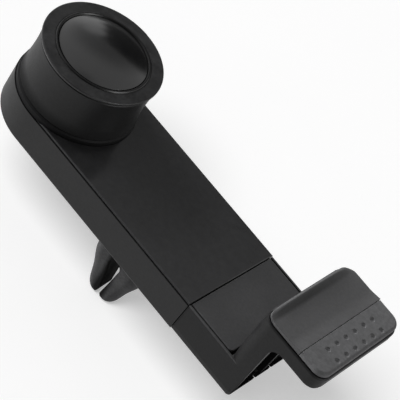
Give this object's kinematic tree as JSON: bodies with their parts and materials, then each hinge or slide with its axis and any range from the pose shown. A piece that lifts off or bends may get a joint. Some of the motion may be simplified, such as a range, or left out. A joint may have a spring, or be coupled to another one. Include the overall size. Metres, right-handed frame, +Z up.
{
  "type": "air vent phone holder",
  "caption": "Bar-shaped phone cradle with a round post, a spring-loaded sliding jaw with a finger tab, and a swivelling slotted claw that grips a vent blade.",
  "frame": {"origin": "at the claw's tips, on the axis that the claw turns about", "axes": "+X along the bar towards the sliding jaw, +Y across the bar, +Z up the claw and out of the phone face"},
  "size_m": [0.112, 0.033, 0.0586],
  "materials": {
    "shell_plastic": "fine matte black moulding",
    "face_plastic": "satin black face",
    "rim_plastic": "fine matte black",
    "gloss_plastic": "polished black",
    "grip_rubber": "soft matte dark grey",
    "insert_rubber": "soft matte grey, lighter than the rest",
    "claw_rubber": "soft matte dark grey",
    "claw_plastic": "matte black",
    "screw_steel": "plain zinc-plated steel",
    "spring_steel": "bright spring wire"
  },
  "bodies": {
    "claw": {"claw_core": "claw_plastic", "claw_pad_1": "claw_rubber", "claw_pad_2": "claw_rubber", "friction_ring": "claw_rubber", "swivel_washer": "screw_steel", "swivel_screw": "screw_steel"},
    "holder": {"back_shell": "shell_plastic", "front_plate": "face_plastic", "jaw_post": "shell_plastic", "post_sleeve": "grip_rubber", "post_rim": "rim_plastic", "post_collar": "rim_plastic", "dome_cap": "gloss_plastic", "post_screws": "screw_steel", "fixed_spring_pins": "screw_steel", "spring_left": "spring_steel", "spring_right": "spring_steel"},
    "jaw": {"slider_tray": "shell_plastic", "slider_plate": "face_plastic", "jaw_arm": "shell_plastic", "jaw_pad": "grip_rubber", "tab_insert": "insert_rubber", "arm_screws": "screw_steel", "slider_spring_pins": "screw_steel"}
  },
  "joints": [
    {"name": "clip_swivel", "type": "hinge", "parent": "claw", "child": "holder", "pos_m": [0, 0, 0.0305], "axis": [0, 0, 1], "continuous": true},
    {"name": "jaw_slide", "type": "slide", "parent": "holder", "child": "jaw", "axis": [1, 0, 0], "range_m": [0, 0.036], "stiffness_N_per_m": 150, "springref_m": -0.01, "deforming": ["spring_left", "spring_right"]}
  ]
}
